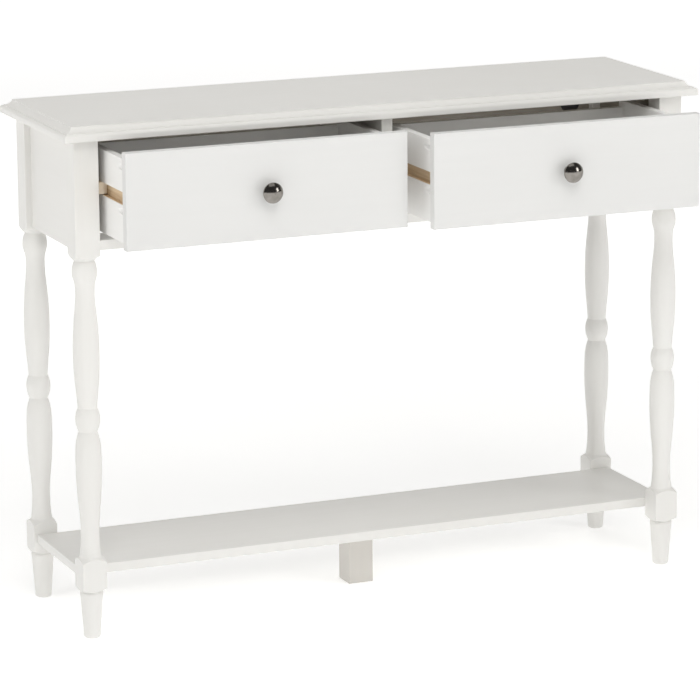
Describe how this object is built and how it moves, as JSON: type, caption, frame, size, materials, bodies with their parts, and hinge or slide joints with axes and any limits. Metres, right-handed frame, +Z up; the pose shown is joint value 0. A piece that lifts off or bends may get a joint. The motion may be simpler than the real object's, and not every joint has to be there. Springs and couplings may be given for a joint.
{
  "type": "console table",
  "caption": "Narrow console table with turned legs, a moulded top, pull-out drawers with round knobs on wooden runners, a low shelf and a square centre foot.",
  "frame": {"origin": "on the floor under the middle of the table top, at the centre of the centre foot's sole", "axes": "+X to the table's right as seen by a person in front of the drawers, -Y towards that person, the way the drawers pull out, +Z up"},
  "size_m": [1.06, 0.469, 0.8],
  "materials": {
    "white_paint": "satin white lacquer",
    "runner_wood": "planed, bare",
    "dowel_wood": "bare",
    "knob_nickel": "polished nickel",
    "steel_screw": "zinc plated",
    "black_plastic": "satin moulded",
    "steel_bracket": "zinc plated"
  },
  "bodies": {
    "frame": {"apron_dowels": "dowel_wood", "back_apron": "white_paint", "bracket_screws": "steel_screw", "cable_hole_cap": "black_plastic", "center_divider": "white_paint", "center_foot": "white_paint", "divider_screws": "steel_screw", "foot_dowel": "dowel_wood", "front_rail": "white_paint", "leg_front_left": "white_paint", "leg_front_right": "white_paint", "leg_rear_left": "white_paint", "leg_rear_right": "white_paint", "lower_shelf": "white_paint", "runner_left_inner": "runner_wood", "runner_left_outer": "runner_wood", "runner_right_inner": "runner_wood", "runner_right_outer": "runner_wood", "runner_screws": "steel_screw", "shelf_dowels": "dowel_wood", "side_apron_left": "white_paint", "side_apron_right": "white_paint", "table_top": "white_paint", "top_brackets": "steel_bracket"},
    "left_drawer": {"drawer_left_back": "white_paint", "drawer_left_back_dowels": "dowel_wood", "drawer_left_bottom": "white_paint", "drawer_left_front": "white_paint", "drawer_left_knob": "knob_nickel", "drawer_left_knob_screw": "steel_screw", "drawer_left_left_side": "white_paint", "drawer_left_pocket_screws": "steel_screw", "drawer_left_right_side": "white_paint"},
    "right_drawer": {"drawer_right_back": "white_paint", "drawer_right_back_dowels": "dowel_wood", "drawer_right_bottom": "white_paint", "drawer_right_front": "white_paint", "drawer_right_knob": "knob_nickel", "drawer_right_knob_screw": "steel_screw", "drawer_right_left_side": "white_paint", "drawer_right_pocket_screws": "steel_screw", "drawer_right_right_side": "white_paint"}
  },
  "joints": [
    {"name": "left_drawer_slide", "type": "slide", "parent": "frame", "child": "left_drawer", "axis": [0, -1, 0], "range_m": [-0.108, 0.082]},
    {"name": "right_drawer_slide", "type": "slide", "parent": "frame", "child": "right_drawer", "axis": [0, -1, 0], "range_m": [-0.146, 0.044]}
  ]
}
